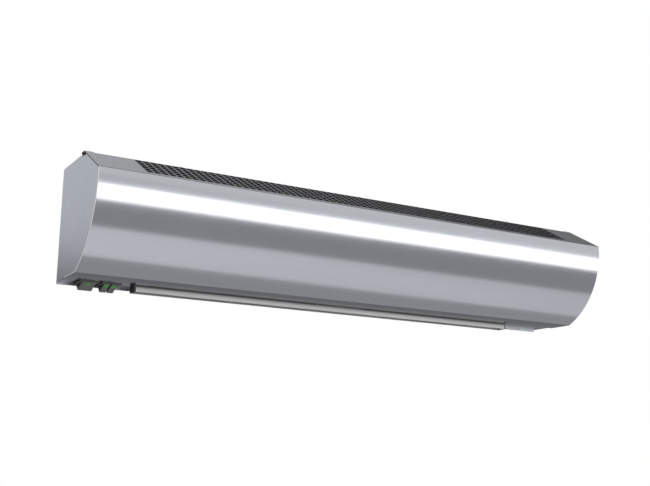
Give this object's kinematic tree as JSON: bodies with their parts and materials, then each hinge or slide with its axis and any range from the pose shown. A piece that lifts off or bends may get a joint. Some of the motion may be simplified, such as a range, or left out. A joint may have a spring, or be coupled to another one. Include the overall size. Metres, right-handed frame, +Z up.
{
  "type": "air curtain",
  "caption": "Long wall-hung air curtain with a perforated intake slope, a curved steel front, a slotted outlet underneath and rocker switches beside it.",
  "frame": {"origin": "centre of the four wall screw holes, on the wall plane", "axes": "+X along the casing to the right as seen from the front, +Y into the wall, +Z up; the curved front faces -Y"},
  "size_m": [0.805, 0.154, 0.1613],
  "materials": {
    "cover_steel": "satin, brushed along the length",
    "grille_steel": "satin, with dark punched edges",
    "end_steel": "satin",
    "panel_steel": "bright, nearly polished",
    "galvanised": "galvanised sheet",
    "outlet_aluminium": "satin anodised",
    "fan_aluminium": "mill finish",
    "motor_aluminium": "die cast",
    "motor_iron": "varnished laminations",
    "copper": "enamelled copper wire",
    "brass": "plain",
    "bronze": "oil-filled sintered bronze",
    "bright_steel": "bright plated",
    "heater_steel": "oxidised",
    "ceramic": "unglazed ceramic",
    "brown_moulding": "moulded phenolic",
    "white_plastic": "fine matt",
    "bezel_plastic": "semi-matt",
    "rocker_plastic": "semi-gloss",
    "green_lens": "translucent, semi-gloss",
    "rubber": "matt",
    "lead_insulation": "silicone-covered wire"
  },
  "bodies": {
    "casing": {"wall_plate": "galvanised", "back_panel": "galvanised", "top_panel": "panel_steel", "bottom_panel": "panel_steel", "end_plate_left": "end_steel", "end_plate_right": "end_steel", "front_cover": "cover_steel", "intake_grille": "grille_steel", "outlet_front_bar": "outlet_aluminium", "outlet_rear_bar": "outlet_aluminium", "outlet_cap_left": "bezel_plastic", "outlet_cap_right": "bezel_plastic", "rear_guide": "galvanised", "vortex_tongue": "galvanised", "side_plate_left": "galvanised", "side_plate_right": "galvanised", "motor_stator": "motor_iron", "motor_windings": "copper", "motor_bell_inner": "motor_aluminium", "motor_bell_outer": "motor_aluminium", "motor_rubber": "rubber", "motor_bracket": "galvanised", "axle_bush": "bronze", "bearing_rubber": "rubber", "bearing_bracket": "galvanised", "heater_rod_lower": "heater_steel", "heater_rod_upper": "heater_steel", "heater_insulators": "ceramic", "thermal_cutout": "brown_moulding", "terminal_block": "white_plastic", "terminal_clamps": "brass", "cable_grommet": "rubber", "switch_housing_power": "bezel_plastic", "switch_housing_heat": "bezel_plastic", "switch_pins": "bright_steel", "switch_tabs": "brass", "motor_capacitor": "white_plastic", "capacitor_clip": "galvanised", "cord_clamp": "white_plastic", "earth_screw": "brass", "leads": "lead_insulation", "panel_screws": "bright_steel", "top_screws": "bright_steel", "motor_screws": "bright_steel", "terminal_screws": "bright_steel", "fixing_screws": "bright_steel"},
    "fan": {"impeller": "fan_aluminium", "idle_hub": "rubber", "axle_stub": "bright_steel", "drive_hub": "rubber", "motor_shaft": "bright_steel", "motor_rotor": "motor_iron"},
    "power_rocker": {"rocker_power": "rocker_plastic", "lens_power": "green_lens"},
    "heat_low_rocker": {"rocker_heat_low": "rocker_plastic", "lens_heat_low": "green_lens"},
    "heat_high_rocker": {"rocker_heat_high": "rocker_plastic", "lens_heat_high": "green_lens"}
  },
  "joints": [
    {"name": "fan_spin", "type": "hinge", "parent": "casing", "child": "fan", "pos_m": [0, -0.066, 0.01699], "axis": [1, 0, 0], "continuous": true},
    {"name": "power_rocker_tilt", "type": "hinge", "parent": "casing", "child": "power_rocker", "pos_m": [-0.3678, -0.0215, -0.0725], "axis": [1, 0, 0], "range_deg": [0, 44]},
    {"name": "heat_low_tilt", "type": "hinge", "parent": "casing", "child": "heat_low_rocker", "pos_m": [-0.3393, -0.0215, -0.0725], "axis": [1, 0, 0], "range_deg": [0, 44]},
    {"name": "heat_high_tilt", "type": "hinge", "parent": "casing", "child": "heat_high_rocker", "pos_m": [-0.3393, -0.0215, -0.0725], "axis": [1, 0, 0], "range_deg": [0, 44]}
  ]
}
